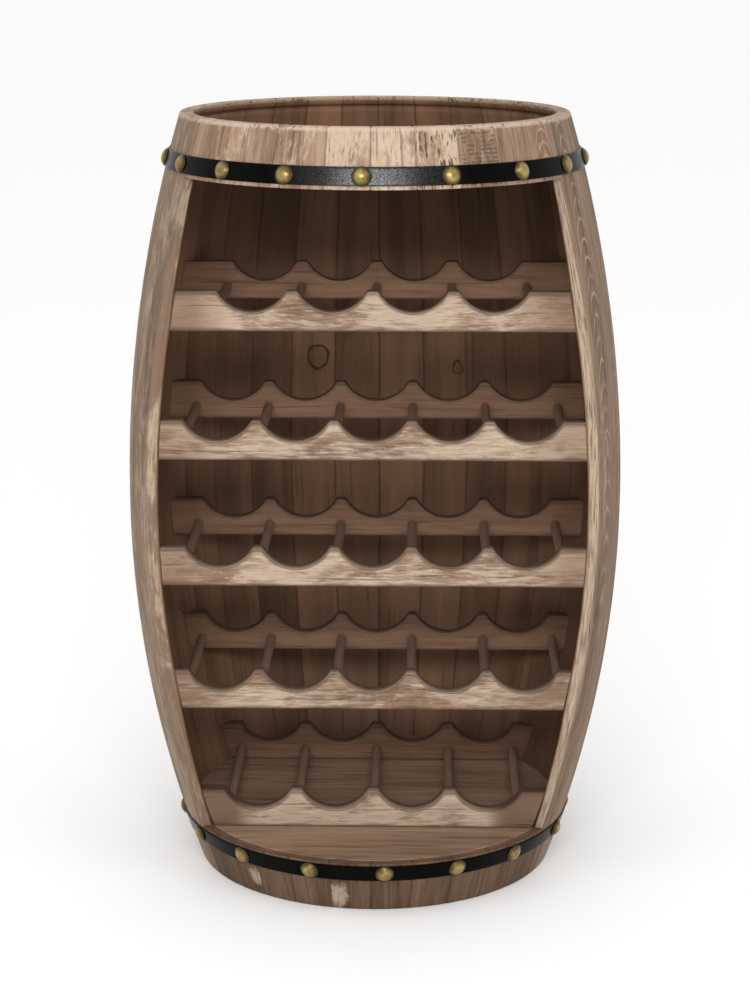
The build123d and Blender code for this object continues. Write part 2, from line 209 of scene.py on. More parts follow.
def stave(name, middle, low, high, seed, marks, rimmed=True, cut_side=0):
    """One stave: a curved board standing at an angle round the barrel.

    Each row is a height and each column a place round the section. The point lies at the
    outer radius of its height less its depth, and its angle runs between the stave's two
    edges; beside the opening the edge angle is where the plane of the front rails meets
    that radius. Depth carries a slight unevenness, and the arrises are worn unevenly.
    """
    rng = np.random.default_rng(seed)
    rows = max(8, int((high - low) / STAVE_ROW))
    body = np.linspace(low + STAVE_END_ROUND, high - STAVE_END_ROUND, rows)
    foot = low + STAVE_END_ROUND * END_RISE
    head = high - STAVE_END_ROUND * END_RISE[::-1]
    foot_in = STAVE_END_ROUND * END_INSET
    if rimmed:
        groove = high - LIP_H
        steps = np.array([groove - CROZE_H, groove])
        rim_rows = np.concatenate([steps - CORNER, steps + CORNER])
        clear = (np.abs(body[:, None] - rim_rows[None, :]) > 0.0015).all(1)
        body = np.sort(np.concatenate([body[clear], rim_rows]))
    z = np.concatenate([foot, body, head])[:, None]
    inset = np.concatenate([foot_in, np.zeros(len(body)), foot_in[::-1]])[:, None]

    thick = np.full_like(z, STAVE_T)
    if rimmed:
        thick = np.where(z > groove, RIM_T, thick)
        thick = np.where((z > groove - CROZE_H) & (z < groove), CROZE_T, thick)

    a, b, c, d = STAVE_COLUMNS.T[:, None, :]
    worn = ARRIS_WEAR + WEAR_SWING * ripple(z * 60 + a, z * 23 + c * 3, seed)
    depth = c * thick + d * worn
    dish = STAVE_DISH * ripple(a * 2.5 + z * 4, z * 31, seed + 1, 3)
    depth = depth + np.where(c == 0, dish, 0) + inset * (1 - 2 * c)
    radius = outer_radius(z) - depth

    left = np.full_like(radius, middle - STAVE_TURN / 2)
    right = np.full_like(radius, middle + STAVE_TURN / 2)
    plane_turn = np.arccos(np.minimum(1, RAIL_FACE / radius))
    if cut_side > 0:
        left = np.maximum(left, plane_turn)
    if cut_side < 0:
        right = np.minimum(right, -plane_turn)
    gap = SEAM_GAP / 2 / radius
    left = left + gap + inset / radius
    right = right - gap - inset / radius
    turn = left + (right - left) * (a + 1) / 2 + b * worn / radius

    x = radius * np.sin(turn)
    y = AXIS_Y - radius * np.cos(turn)
    points = np.stack([x, y, np.broadcast_to(z, x.shape)], -1)

    mid = len(z) // 2
    ring = points[mid, :, :2]
    sides = np.linalg.norm(np.diff(np.vstack([ring, ring[:1]]), axis=0), axis=1)
    around = np.concatenate([[0], np.cumsum(sides)])
    shift = rng.uniform(0, 3, 2)
    uv = np.stack(np.broadcast_arrays(around[None, :] + shift[0], z + shift[1]), -1)

    values = {
        "tone": rng.uniform(0, 1),
        "inside": np.where(c > 0.5, 1.0, 0.0),
        "arris": np.exp(-(((1 - np.abs(a)) * 20) ** 2)),
        "side": np.where((np.abs(a) == 1) & (c > 0.05) & (c < 0.95), 1.0, 0.0),
        "height": z / BARREL_H,
        "across": a,
        "rim": np.exp(-(((BARREL_H - z) / 0.0035) ** 2)),
    }
    return loop_mesh(name, points, uv, {**values, **marks})


def cradle_top(x, bays, pitch, rail_h):
    """Height of a rail's top edge at x: flat, less the round cradle of each bay."""
    nearest = (np.round(x / pitch - (bays - 1) / 2) + (bays - 1) / 2) * pitch
    nearest = np.clip(nearest, -(bays - 1) / 2 * pitch, (bays - 1) / 2 * pitch)
    off = np.abs(x - nearest)
    drop = np.sqrt(np.maximum(CRADLE_R**2 - off**2, 0)) - (CRADLE_R - CRADLE_DEPTH)
    return rail_h - np.maximum(drop, 0)


RAIL_COLUMNS = section_columns(face=7, side=4, arris=4)


def rail(name, node, bays, seed, marks):
    """One bottle rail: its section carried along X, with the top edge following the cradles.

    Each row is a place along the rail, and each column a place round the section: front
    face, top, back face, underside. Near the ends the rows spread so that the ends meet the
    round inside of the staves at every height and depth.
    """
    low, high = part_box(node)
    rail_h = high.z - low.z
    thick = high.y - low.y
    half = high.x
    pitch = PITCHES[bays]
    rows = np.linspace(-half, half, int(2 * half / RAIL_ROW))[:, None]
    top = cradle_top(rows, bays, pitch, rail_h)
    soft = np.convolve(np.pad(top[:, 0], 1, mode="edge"), [0.2, 0.6, 0.2], "valid")
    top = soft[:, None]
    a, b, c, d = RAIL_COLUMNS.T[:, None, :]
    worn = RAIL_ARRIS_WEAR + WEAR_SWING * ripple(rows * 70, a + c * 4 + rows * 11, seed)
    up = (a + 1) / 2 * top + b * worn
    depth = c * thick + d * worn
    z = low.z + up
    dish = RAIL_DISH * ripple(rows * 40, z * 60, seed + 2, 3)
    y = low.y + depth + np.where(c == 0, dish, 0)
    inner = outer_radius(z) - STAVE_T - RAIL_END_GAP
    meet = np.sqrt(np.maximum(inner**2 - (y - AXIS_Y) ** 2, 0))
    land = half - RAIL_END
    share = np.clip((np.abs(rows) - land) / RAIL_END, 0, 1)
    x = np.sign(rows) * np.where(share > 0, land + share * (meet - land), np.abs(rows))
    points = np.stack(np.broadcast_arrays(x, y, z), -1)

    rng = np.random.default_rng(seed)
    shift = rng.uniform(0, 3, 2)
    front = np.where(c < 0.5, up, 0.2 - up)
    round_u = front + np.where(a == 1, depth, 0) - np.where(a == -1, depth, 0)
    round_u = np.concatenate([round_u, round_u[:, :1]], 1)
    along = np.concatenate([x, x[:, :1]], 1)
    uv = np.stack([round_u + shift[0], along + shift[1]], -1)
    arris = np.exp(-(((top - up) / 0.0025) ** 2)) + 0.6 * np.exp(-((up / 0.0018) ** 2))
    values = {
        "tone": rng.uniform(0, 1),
        "inside": np.where(c > 0.5, 1.0, 0.0),
        "arris": np.clip(arris, 0, 1),
        "side": np.where(np.abs(a) == 1, 1.0, 0.0),
        "height": up / rail_h,
        "across": x / half,
    }
    return loop_mesh(name, points, uv, {**values, **marks})


def hoop(name, node, material):
    """A flat steel band: a rounded strip's section carried once round the staves' slope.

    The section's points are (up from the middle, out from the staves). At each turn round
    the barrel a point lies that far out from the outer radius of its own height.
    """
    low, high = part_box(node)
    width = high.z - low.z
    edge = HOOP_T / 2
    turns = np.linspace(-math.pi / 2, math.pi / 2, 7)
    inner_half = width / 2 - edge
    strip = [(z, HOOP_T) for z in np.linspace(-inner_half, inner_half, 9)[1:-1]]
    top = [(inner_half + edge * math.cos(t), edge + edge * math.sin(t)) for t in turns[::-1]]
    back = [(z, 0.0) for z in np.linspace(inner_half, -inner_half, 5)[1:-1]]
    foot = [(-inner_half - edge * math.cos(t), edge + edge * math.sin(t)) for t in turns]
    profile = np.array(strip + top + back + foot)
    turn = np.linspace(0, 2 * math.pi, HOOP_ROWS, endpoint=False)[:, None]
    z = (low.z + high.z) / 2 + profile[None, :, 0]
    out = profile[None, :, 1]
    flex = HOOP_FLEX * ripple(np.cos(turn) * 3, np.sin(turn) * 3, 11, 3)
    radius = outer_radius(z) + HOOP_FIT + out + np.abs(flex) * 0.5
    x = radius * np.sin(turn)
    y = AXIS_Y - radius * np.cos(turn)
    points = np.stack(np.broadcast_arrays(x, y, z), -1)
    cols = points.shape[1]
    row = np.arange(HOOP_ROWS)[:, None] * cols
    col = np.arange(cols)[None, :]
    next_row = (row + cols) % (HOOP_ROWS * cols)
    next_col = (col + 1) % cols
    faces = np.stack([row + next_col, next_row + next_col, next_row + col, row + col], -1)
    mesh = bpy.data.meshes.new(name)
    mesh.from_pydata(points.reshape(-1, 3).tolist(), [], faces.reshape(-1, 4).tolist())
    finish_piece(smooth_piece(name, mesh), material, "hoop_black", node)


def dome_nails(name, node, hoop_z, turns, material):
    """Dome nails of one hoop: caps of a sphere with a rolled rim, square to the slope.

    Each cap is a polar grid: rings from the crown out to the rim and back under it. The
    height falls as the sphere does, and each nail has its own slight dent.
    """
    rings = np.array([0.0, 0.16, 0.32, 0.48, 0.62, 0.74, 0.84, 0.92, 0.97, 1.0, 0.985, 0.93])
    cap_r = (NAIL_R**2 + NAIL_H**2) / (2 * NAIL_H)
    flat = rings[:, None] * NAIL_R
    rise = np.sqrt(cap_r**2 - flat**2) - (cap_r - NAIL_H)
    rise[-4:, 0] = [0.0009, 0.00045, 0.0001, 0.00002]
    spin = np.arange(NAIL_SPOKES) * 2 * math.pi / NAIL_SPOKES
    lean = math.atan(float(outer_slope(np.array(hoop_z))))
    face_r = float(outer_radius(np.array(hoop_z))) + HOOP_FIT + HOOP_T
    up = np.array([0.0, 0.0, 1.0])
    rng = np.random.default_rng(5 + int(hoop_z * 1000))
    verts = []
    for turn in np.radians(turns):
        out = np.array([math.sin(turn), -math.cos(turn), 0.0])
        normal = out * math.cos(lean) - up * math.sin(lean)
        steep = up * math.cos(lean) + out * math.sin(lean)
        level = np.cross(steep, normal)
        centre = np.array([0, AXIS_Y, hoop_z]) + out * face_r
        dent_x = rings[:, None] * 2 * np.cos(spin)
        dent_y = rings[:, None] * 2 * np.sin(spin)
        dent = NAIL_DENT * ripple(dent_x, dent_y, int(rng.integers(999)), 2)
        tall = rise + dent * (rings[:, None] < 0.95)
        spoke = np.cos(spin)[:, None] * level + np.sin(spin)[:, None] * steep
        spots = centre + flat[..., None] * spoke + tall[..., None] * normal
        under = centre[None, :] + normal * rise[-1]
        verts += [spots[0, :1], spots[1:].reshape(-1, 3), under]

    # one nail's faces: a fan at the crown, bands between rings, a fan that closes the back
    here = np.arange(NAIL_SPOKES)
    after = (here + 1) % NAIL_SPOKES
    ring_starts = 1 + NAIL_SPOKES * np.arange(len(rings) - 1)
    tip = ring_starts[-1] + NAIL_SPOKES
    crown_fan = np.stack([0 * here, 1 + here, 1 + after], -1)
    near, far = ring_starts[:-1, None], ring_starts[1:, None]
    bands = np.stack([near + here, far + here, far + after, near + after], -1).reshape(-1, 4)
    back_fan = np.stack([ring_starts[-1] + here, tip + 0 * here, ring_starts[-1] + after], -1)
    faces = []
    for nail in range(len(turns)):
        first = nail * (tip + 1)
        for part in (crown_fan, bands, back_fan):
            faces += (part + first).tolist()

    mesh = bpy.data.meshes.new(name)
    mesh.from_pydata(np.concatenate(verts).tolist(), [], faces)
    edge_share = np.concatenate([[0.0], np.repeat(rings[1:], NAIL_SPOKES), [1.0]])
    edge = mesh.attributes.new("edge", "FLOAT", "POINT")
    edge.data.foreach_set("value", np.tile(edge_share, len(turns)).astype(np.float32))
    finish_piece(smooth_piece(name, mesh), material, "antique_brass", node)


# ---------------------------------------------------------------- materials


def paint(red, green, blue):
    """A colour given as it looks on a screen, 0 to 255, turned into scene-linear light."""
    def linear(value):
        share = value / 255
        return share / 12.92 if share < 0.04045 else ((share + 0.055) / 1.055) ** 2.4
    return (linear(red), linear(green), linear(blue), 1.0)


class Finish:
    """A material being put together: each method adds one node and returns its output."""

    def __init__(self, name):
        self.material = bpy.data.materials.new(name)
        self.material.use_nodes = True
        self.tree = self.material.node_tree
        self.tree.nodes.clear()
        self.out = self.tree.nodes.new("ShaderNodeOutputMaterial")
        self.shader = self.tree.nodes.new("ShaderNodeBsdfPrincipled")
        self.tree.links.new(self.shader.outputs[0], self.out.inputs[0])

    def node(self, kind, values=(), **settings):
        made = self.tree.nodes.new(kind)
        for key, value in settings.items():
            setattr(made, key, value)
        for key, value in dict(values).items():
            if isinstance(value, bpy.types.NodeSocket):
                self.tree.links.new(value, made.inputs[key])
            else:
                made.inputs[key].default_value = value
        return made

    def set(self, socket, value):
        if isinstance(value, bpy.types.NodeSocket):
            self.tree.links.new(value, self.shader.inputs[socket])
        else:
            self.shader.inputs[socket].default_value = value

    def mark(self, name):
        return self.node("ShaderNodeAttribute", attribute_name=name).outputs["Fac"]

    def math(self, how, a, b=0.0, c=0.0, clamp=False):
        return self.node(
            "ShaderNodeMath", {0: a, 1: b, 2: c}, operation=how, use_clamp=clamp
        ).outputs[0]

    def add(self, a, b):
        return self.math("ADD", a, b)

    def mul(self, a, b):
        return self.math("MULTIPLY", a, b)

    def split(self, vector):
        return self.node("ShaderNodeSeparateXYZ", {0: vector}).outputs

    def join(self, x, y, z):
        return self.node("ShaderNodeCombineXYZ", {0: x, 1: y, 2: z}).outputs[0]

    def noise(self, vector, detail=3.0, rough=0.55, twist=0.0, scale=1.0):
        values = {"Vector": vector, "Scale": scale, "Detail": detail}
        values.update({"Roughness": rough, "Distortion": twist})
        return self.node("ShaderNodeTexNoise", values).outputs[0]

    def step(self, value, low, high):
        """0 below low, 1 above high, smooth between; a falling step where low is above high."""
        return self.node(
            "ShaderNodeMapRange",
            {"Value": value, "From Min": low, "From Max": high, "To Min": 0.0, "To Max": 1.0},
            interpolation_type="SMOOTHSTEP",
        ).outputs[0]

    def ramp(self, value, *stops):
        made = self.node("ShaderNodeValToRGB", {0: value})
        ramp = made.color_ramp
        while len(ramp.elements) < len(stops):
            ramp.elements.new(0.5)
        for element, (place, colour) in zip(ramp.elements, stops):
            element.position = place
            element.color = colour
        return made.outputs[0]

    def mix(self, share, under, over, how="MIX"):
        made = self.node("ShaderNodeMix", data_type="RGBA", blend_type=how)
        for socket, value in ((0, share), (6, under), (7, over)):
            if isinstance(value, bpy.types.NodeSocket):
                self.tree.links.new(value, made.inputs[socket])
            else:
                made.inputs[socket].default_value = value
        return made.outputs[2]

    def bump(self, height, depth):
        values = {"Height": height, "Strength": 1.0, "Distance": depth}
        return self.node("ShaderNodeBump", values).outputs[0]

    def wood(self, colour, fibre, relief, depth):
        """Sets a matt wood of this colour, rougher along its fibres, and returns it."""
        self.set("Base Color", colour)
        self.set("Roughness", self.math("MULTIPLY_ADD", fibre, 0.25, 0.62))
        self.set("Specular IOR Level", 0.22)
        self.set("Normal", self.bump(relief, depth))
        return self.material


def grain_places(f):
    """Where a board's pattern is read: across and along the grain, and a number of its own."""
    u, v, _ = f.split(f.node("ShaderNodeUVMap", uv_map="grain").outputs[0])
    return u, v, f.mul(f.mark("tone"), 31.7)


def wood_grain(f, u, v, own, fine=1.0):
    """The grain itself: fibres, strands and broad tone, each stretched along the board."""
    sway = f.noise(f.join(f.mul(u, 18), f.mul(v, 5.0), own), 2, 0.5)
    bent = f.add(u, f.mul(f.math("SUBTRACT", sway, 0.5), 0.014))
    fibre = f.noise(f.join(f.mul(bent, 520 * fine), f.mul(v, 30), own), 5, 0.7)
    strand = f.noise(f.join(f.mul(bent, 170 * fine), f.mul(v, 7.0), own), 4, 0.6)
    broad = f.noise(f.join(f.mul(bent, 34), f.mul(v, 3.2), own), 3, 0.5)
    return bent, fibre, strand, broad


def grey(f, value):
    """A neutral grey of this value, for darkening and lightening."""
    return f.node("ShaderNodeCombineColor", {0: value, 1: value, 2: value}).outputs[0]


def whitewash(f, bent, v, own, level, drawn=1.0):
    """How much whitewash is left: soft blotches, broken up by brushed fibres.

    Drawn is how far both are drawn out along the board.
    """
    blotch = f.noise(f.join(f.mul(bent, 34), f.mul(v, 26 / drawn), f.add(own, 4.0)), 6, 0.66, 0.6)
    brushed = f.noise(f.join(f.mul(bent, 400), f.mul(v, 90 / drawn), f.add(own, 9.0)), 5, 0.75)
    cover = f.add(f.mul(blotch, 0.62), f.mul(brushed, 0.38))
    level = f.math("SUBTRACT", level, f.mul(f.mark("wash"), 0.16))
    body = f.step(cover, level, f.add(level, 0.13))
    return f.mul(body, f.math("MULTIPLY_ADD", brushed, 1.5, 0.08, clamp=True))


def board_colour(f, fibre, strand, broad, colours):
    """Deep, brown and pale wood, shared out by the grain."""
    deep, brown, pale = colours
    blend = f.add(f.mul(strand, 0.34), f.add(f.mul(broad, 0.30), f.mul(fibre, 0.36)))
    return f.ramp(blend, (0.38, deep), (0.48, brown), (0.60, pale))


def cracks(f, bent, v, own, rate, drawn, level):
    """Thin dark checks along the grain, where a noise that many times a metre is highest."""
    split = f.noise(f.join(f.mul(bent, rate), f.mul(v, drawn), f.add(own, 6.0)), 3, 0.5)
    return f.step(split, level, level + 0.07)


def growth_rings(f, bent, v, own, across, outside, waver):
    """Slanted growth rings: pale arcs one under another, rounded at the top, and their shade.

    The arcs stand wider apart further down the board: their count is the logarithm of a
    spacing that falls with height. They are drawn only where the board's marks ask.
    """
    height = f.mul(f.mark("height"), BARREL_H)
    bow = f.mul(f.mul(across, across), 0.060)
    place = f.add(f.add(height, bow), f.mul(waver, 0.022))
    spacing = f.math("MULTIPLY_ADD", place, -0.040, 0.046)
    stack = f.math("FRACT", f.mul(f.math("LOGARITHM", spacing, math.e), -25.0))
    line = f.mul(f.step(stack, 0.0, 0.07), f.step(stack, 0.26, 0.08))
    off_middle = f.add(across, f.math("MULTIPLY_ADD", waver, 0.4, -0.12))
    narrow = f.step(f.math("ABSOLUTE", off_middle), 0.52, 0.34)
    patchy = f.noise(f.join(f.mul(bent, 70), f.mul(v, 50), f.add(own, 2.0)), 2, 0.5)
    gate = f.step(patchy, 0.34, 0.50)
    asked = f.mul(f.mul(f.mark("arcs"), outside), f.step(height, 0.20, 0.45))
    arc = f.mul(f.mul(line, narrow), f.mul(asked, gate))
    shade = f.mul(f.mul(f.step(stack, 0.1, 0.8), narrow), asked)
    return arc, shade


def saw_marks(f, u, v, own, outside, waver):
    """Short dark lines across the board, 255 to the metre, in broken patches."""
    teeth = f.math("FRACT", f.mul(f.add(v, f.mul(waver, 0.004)), 255.0))
    tooth = f.mul(f.step(teeth, 0.0, 0.2), f.step(teeth, 0.7, 0.45))
    broken = f.step(f.noise(f.join(f.mul(u, 150), f.mul(v, 160), own), 2, 0.6), 0.44, 0.56)
    return f.mul(f.mul(tooth, broken), f.mul(f.mark("sawn"), outside))


def dark_dashes(f, bent, v, own, outside):
    """Short dark strokes along the grain."""
    stroke = f.noise(f.join(f.mul(bent, 330), f.mul(v, 70), f.add(own, 7.0)), 2, 0.5)
    return f.mul(f.step(stroke, 0.56, 0.62), f.mul(f.mark("dashes"), outside))


def inner_face(f, fibre, strand, broad, crack, across, inner):
    """The barrel's inside: smoother and darker, with painted shade under the ring and shadowed
    seams.
    """
    brown, light, dark = inner
    soft = f.add(f.mul(broad, 0.72), f.add(f.mul(strand, 0.12), f.mul(fibre, 0.16)))
    colour = f.ramp(soft, (0.30, brown), (0.70, light))
    height = f.mark("height")
    # painted shade: the inside is darkened in a band below the rim, under the upper ring
    painted_ring_shade = f.mul(f.step(height, 0.78, 0.90), f.step(height, 0.945, 0.93))
    dim = f.math("SUBTRACT", f.math("MULTIPLY_ADD", f.mark("tone"), 0.34, 0.80), f.mul(painted_ring_shade, 0.38))
    colour = f.mix(1.0, colour, grey(f, dim), "MULTIPLY")
    edge = f.step(f.math("ABSOLUTE", across), 0.90, 1.0)
    colour = f.mix(f.mul(edge, 0.22), colour, dark)
    return f.mix(f.mul(crack, 0.15), colour, dark)


def from_knot(f, u, v, own, across):
    """How far a place is from the board's knot or splash, in shares of its size."""
    half_width = 0.024
    drawn_height = 0.66
    away_u = f.mul(f.math("SUBTRACT", across, f.mark("knot_across")), half_width)
    away_v = f.mul(f.math("SUBTRACT", f.mark("height"), f.mark("knot_height")), drawn_height)
    rough = f.math("SUBTRACT", f.noise(f.join(f.mul(u, 80), f.mul(v, 80), own), 2, 0.5), 0.5)
    span = f.math("SQRT", f.add(f.math("POWER", away_u, 2.0), f.math("POWER", away_v, 2.0)))
    return f.math("DIVIDE", f.add(span, f.mul(rough, 0.010)), f.mark("knot_size"))


def stave_wood(name, colours, wash, wash_level, wash_body, inner, vary, drawn, worn):
    """Stave wood: whitewashed brown outside, plain dark brown inside, pale on the cut edges.

    The outside carries what each board's marks ask for: stacked arcs of slanted growth
    rings, saw marks, broken dark dashes, a splash. The inside may carry a ring knot. The
    whitewash starts where its noise passes wash_level and covers up to wash_body of the
    wood, vary is how much boards differ in tone, and worn is how pale their arrises are.
    """
    f = Finish(name)
    u, v, own = grain_places(f)
    bent, fibre, strand, broad = wood_grain(f, u, v, own)
    deep, brown, pale = colours
    inside = f.mark("inside")
    outside = f.math("SUBTRACT", 1.0, inside, clamp=True)
    tint = f.mark("tone")
    across = f.mark("across")
    waver = f.noise(f.join(f.mul(bent, 40), f.mul(v, 14), own), 2, 0.5)
    washed = whitewash(f, bent, v, own, wash_level, drawn)
    arc, shade = growth_rings(f, bent, v, own, across, outside, waver)
    sawn = saw_marks(f, u, v, own, outside, waver)
    dash = dark_dashes(f, bent, v, own, outside)
    seam = f.mul(f.step(f.math("ABSOLUTE", across), 0.955, 0.995), outside)
    crack = cracks(f, bent, v, own, 300, 6, 0.65)

    colour = board_colour(f, fibre, strand, broad, colours)
    colour = f.mix(f.mul(washed, wash_body), colour, wash)
    board_tone = grey(f, f.math("MULTIPLY_ADD", tint, vary, 1.0 - vary * 0.6))
    colour = f.mix(1.0, colour, board_tone, "MULTIPLY")
    colour = f.mix(f.mul(shade, 0.30), colour, deep)
    colour = f.mix(f.mul(arc, 0.60), colour, wash)
    colour = f.mix(f.mul(sawn, 0.6), colour, deep)
    colour = f.mix(f.mul(dash, 0.9), colour, deep)
    colour = f.mix(f.mul(seam, 1.7 * vary), colour, deep)
    colour = f.mix(f.mul(crack, 0.45), colour, deep)

    # the inside, with a ring knot where the board's marks put one
    dull = inner_face(f, fibre, strand, broad, crack, across, inner)
    span = from_knot(f, u, v, own, across)
    ring = f.mul(f.step(span, 0.78, 0.95), f.step(span, 1.22, 1.02))
    heart = f.step(span, 0.95, 0.5)
    dull = f.mix(f.mul(heart, 0.3), dull, inner[0])
    dull = f.mix(f.mul(ring, 0.8), dull, inner[2])

    # a flaking splash of whitewash on the outside, where the knot marks put it
    grain = f.add(f.mul(fibre, 0.5), f.mul(strand, 0.5))
    flaked = f.math("MULTIPLY_ADD", f.step(grain, 0.40, 0.60), 0.4, 0.4)
    torn = f.noise(f.join(f.mul(u, 240), f.mul(v, 200), own), 3, 0.6)
    ragged = f.add(span, f.mul(f.math("SUBTRACT", torn, 0.5), 1.6))
    splash = f.mul(f.step(ragged, 1.45, 0.55), f.mark("splash"))
    colour = f.mix(f.mul(splash, flaked), colour, wash)
    colour = f.mix(inside, colour, dull)

    # worn arrises, the whitened rim with its dark specks, and the planed side faces
    rubbed = f.step(f.add(f.mark("arris"), f.mul(fibre, 0.5)), 0.95, 1.35)
    colour = f.mix(f.mul(rubbed, f.mul(outside, worn)), colour, wash)
    speck = f.noise(f.join(f.mul(u, 260), f.mul(v, 260), own), 3, 0.6)
    specked = f.step(f.add(speck, f.mul(tint, 0.12)), 0.40, 0.56)
    rim = f.mul(f.step(f.mark("rim"), 0.15, 0.7), specked)
    colour = f.mix(f.mul(rim, 0.85), colour, wash)
    brushed = f.add(f.mul(strand, 0.5), f.mul(washed, 0.5))
    planed = f.ramp(brushed, (0.2, brown), (0.5, pale), (0.8, wash))
    planed = f.mix(f.mul(f.mark("planed"), f.step(fibre, 0.36, 0.56)), planed, wash)
    colour = f.mix(f.mul(f.mark("side"), 0.85), colour, planed)

    relief = f.add(f.mul(fibre, 0.35), f.add(f.mul(strand, 0.5), f.mul(washed, 0.15)))
    sunk = f.add(f.mul(crack, 0.6), f.add(f.mul(sawn, 0.4), f.mul(dash, 0.3)))
    relief = f.add(f.math("SUBTRACT", relief, sunk), f.mul(arc, 0.3))
    return f.wood(colour, fibre, relief, 0.0012)


def rail_wood(name, colours, wash, wash_level, wash_body, cut):
    """Rail wood: brushed along its length, browner toward the ends, dark where it was sawn."""
    f = Finish(name)
    u, v, own = grain_places(f)
    bent, fibre, strand, broad = wood_grain(f, u, v, own)
    deep, brown, pale = colours
    colour = board_colour(f, fibre, strand, broad, colours)
    outside = f.math("SUBTRACT", 1.0, f.mark("inside"), clamp=True)
    away = f.math("ABSOLUTE", f.mark("across"))
    patch = f.noise(f.join(f.mul(v, 14), own, own), 2, 0.5)
    bare = f.mul(f.step(f.add(away, f.mul(patch, 0.3)), 0.78, 1.05), f.mark("ends"))
    kept = f.math("SUBTRACT", 1.0, bare, clamp=True)
    washed = f.mul(whitewash(f, bent, v, own, wash_level, 2.2), f.mul(kept, outside))
    colour = f.mix(f.mul(washed, wash_body), colour, wash)
    colour = f.mix(f.mul(bare, 0.7), colour, f.mix(0.5, brown, deep))
    sawn = f.mul(f.mark("side"), 0.85)
    colour = f.mix(sawn, colour, f.mix(strand, cut, deep))
    rubbed = f.step(f.add(f.mark("arris"), f.mul(fibre, 0.6)), 1.0, 1.45)
    colour = f.mix(f.mul(f.mul(rubbed, f.mul(kept, outside)), 0.5), colour, wash)
    crack = cracks(f, bent, v, own, 320, 7, 0.64)
    colour = f.mix(f.mul(crack, 0.45), colour, deep)
    relief = f.add(f.mul(fibre, 0.4), f.add(f.mul(strand, 0.5), f.mul(washed, 0.2)))
    relief = f.math("SUBTRACT", relief, f.mul(crack, 0.6))
    return f.wood(colour, fibre, relief, 0.0011)


def panel_wood(name, deep, brown, pale):
    """Boards that run sideways: the same grain, read from the panel's own place."""
    f = Finish(name)
    x, y, z = f.split(f.node("ShaderNodeTexCoord").outputs["Object"])
    from_edge = f.add(f.math("SUBTRACT", y, AXIS_Y), PANEL_BOARD_W / 2)
    board = f.math("FLOOR", f.math("DIVIDE", from_edge, PANEL_BOARD_W))
    own = f.mul(board, 5.3)
    bent, fibre, strand, broad = wood_grain(f, y, x, own, 0.8)
    blend = f.add(f.mul(strand, 0.35), f.add(f.mul(broad, 0.4), f.mul(fibre, 0.25)))
    colour = f.ramp(blend, (0.34, deep), (0.48, brown), (0.66, pale))
    split = f.noise(f.join(f.mul(bent, 260), f.mul(x, 6), own), 3, 0.5)
    crack = f.step(split, 0.62, 0.69)
    colour = f.mix(f.mul(crack, 0.7), colour, deep)
    f.set("Base Color", colour)
    f.set("Roughness", f.math("MULTIPLY_ADD", fibre, 0.2, 0.65))
    f.set("Specular IOR Level", 0.25)
    relief = f.math("SUBTRACT", f.add(f.mul(fibre, 0.4), f.mul(strand, 0.5)), f.mul(crack, 0.8))
    f.set("Normal", f.bump(relief, 0.0006))
    return f.material


def dowel_wood(name, brown, pale):
    """Turned dowels: smooth, with faint long fibres front to back."""
    f = Finish(name)
    x, y, z = f.split(f.node("ShaderNodeTexCoord").outputs["Object"])
    fibre = f.noise(f.join(f.mul(x, 700), f.mul(y, 20), f.mul(z, 700)), 4, 0.6)
    cloud = f.noise(f.join(f.mul(x, 30), f.mul(y, 14), f.mul(z, 30)), 3, 0.55)
    colour = f.ramp(f.add(f.mul(fibre, 0.5), f.mul(cloud, 0.5)), (0.35, brown), (0.66, pale))
    f.set("Base Color", colour)
    f.set("Roughness", f.math("MULTIPLY_ADD", fibre, 0.2, 0.5))
    f.set("Specular IOR Level", 0.3)
    f.set("Normal", f.bump(fibre, 0.0003))
    return f.material


def black_band(name):
    """Satin black steel: fine rolling marks, dust in broad clouds, a few grey rubs.

    The upper hoop has a painted highlight at the middle of the front: lighter grey there, and
    shinier.
    """
    f = Finish(name)
    place = f.node("ShaderNodeTexCoord").outputs["Object"]
    x, y, z = f.split(place)
    cloud = f.noise(place, 4, 0.6, 0.3, 22.0)
    speck = f.noise(place, 2, 0.6, 0.0, 900.0)
    colour = f.ramp(cloud, (0.35, paint(2, 2, 1)), (0.7, paint(6, 6, 5)))
    rub = f.step(f.add(f.mul(cloud, 0.6), f.mul(speck, 0.4)), 0.62, 0.74)
    colour = f.mix(f.mul(rub, 0.3), colour, paint(30, 30, 29))
    front_middle = f.mul(f.step(f.math("ABSOLUTE", x), 0.10, 0.02), f.step(y, AXIS_Y, AXIS_Y - 0.1))
    burnish_and_painted_highlight = f.mul(f.mul(front_middle, f.step(z, 0.4, 0.6)), f.step(speck, 0.25, 0.75))
    # painted highlight: the middle of the upper hoop's front is lightened toward grey
    colour = f.mix(f.mul(burnish_and_painted_highlight, 0.5), colour, paint(70, 70, 67))
    f.set("Base Color", colour)
    f.set("Specular IOR Level", f.math("MULTIPLY_ADD", burnish_and_painted_highlight, 0.5, 0.04))
    f.set("Roughness", f.math("MULTIPLY_ADD", cloud, 0.16, 0.12))
    f.set("Normal", f.bump(f.add(speck, f.mul(cloud, 2.0)), 0.00010))
    return f.material


